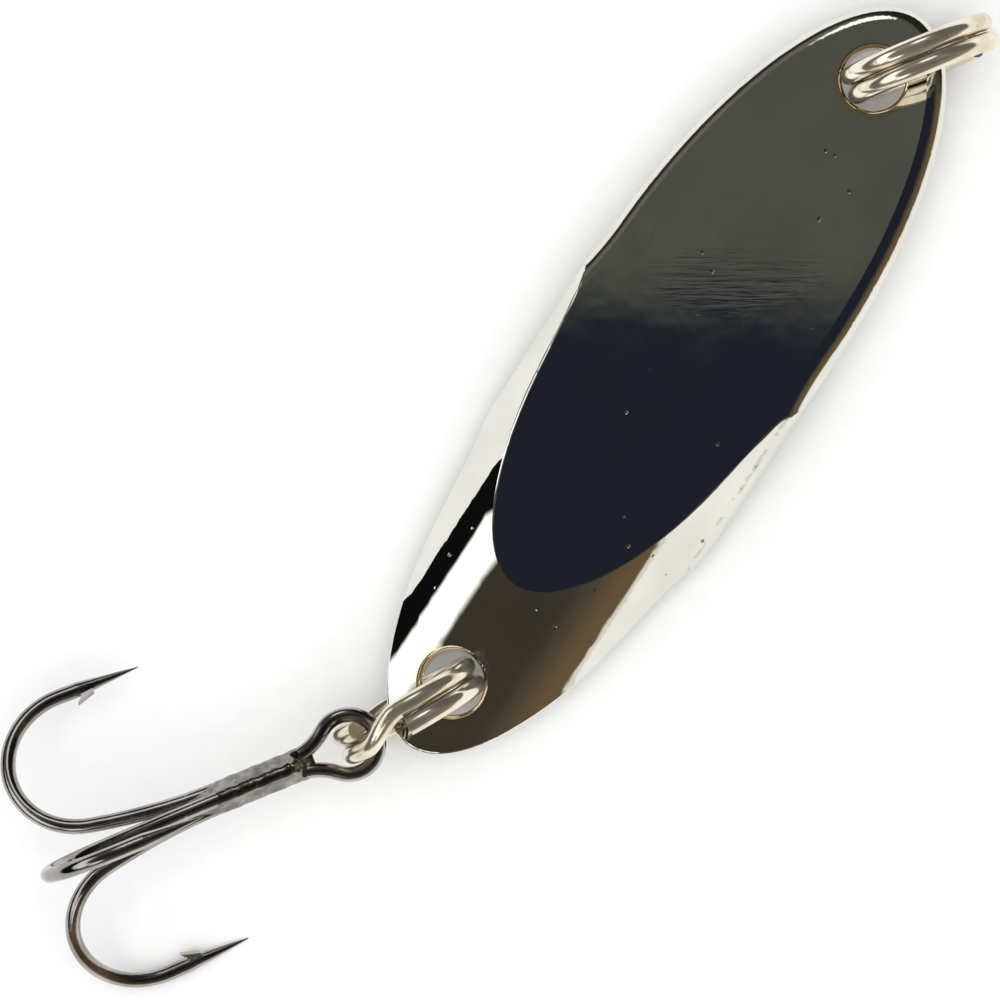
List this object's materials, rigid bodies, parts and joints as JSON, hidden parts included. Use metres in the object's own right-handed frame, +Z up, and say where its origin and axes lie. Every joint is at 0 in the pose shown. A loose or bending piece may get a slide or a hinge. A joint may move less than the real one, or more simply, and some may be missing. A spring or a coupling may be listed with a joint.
{
  "type": "spoon lure",
  "caption": "Bright plated cut-bar casting spoon with a split ring in the hole at each end and a barbed treble hook swinging on the tail ring.",
  "frame": {"origin": "middle of the bounding box, on the flat surface that the lure lies on", "axes": "+X along the body towards its nose, +Z up, out of the body's front face"},
  "size_m": [0.0673, 0.0243, 0.0153],
  "materials": {
    "bright_plating": "mirror bright nickel plate on solid brass",
    "ring_nickel": "bright nickel plated spring steel wire",
    "hook_black_nickel": "glossy black nickel plated steel wire",
    "hook_solder": "plated braze between the shanks"
  },
  "bodies": {
    "lure_body": {"lure_body": "bright_plating"},
    "nose_ring": {"nose_split_ring": "ring_nickel"},
    "tail_ring": {"tail_split_ring": "ring_nickel"},
    "treble_hook": {"hook_double_wire": "hook_black_nickel", "hook_single_wire": "hook_black_nickel", "hook_braze": "hook_solder"}
  },
  "joints": [
    {"name": "nose_ring_swing", "type": "hinge", "parent": "lure_body", "child": "nose_ring", "pos_m": [0.03011, -0.00666, 0.00318], "axis": [0.5451, 0.8321, 0.102], "range_deg": [-2, 170]},
    {"name": "tail_ring_swing", "type": "hinge", "parent": "lure_body", "child": "tail_ring", "pos_m": [-0.0125, -0.00419, 0.00245], "axis": [-0.4301, -0.8892, -0.156], "range_deg": [-1, 120]},
    {"name": "hook_swing", "type": "hinge", "parent": "tail_ring", "child": "treble_hook", "pos_m": [-0.01595, -0.00283, 0.00423], "axis": [-0.068, -0.141, 0.9877], "range_deg": [-80, 120]}
  ]
}
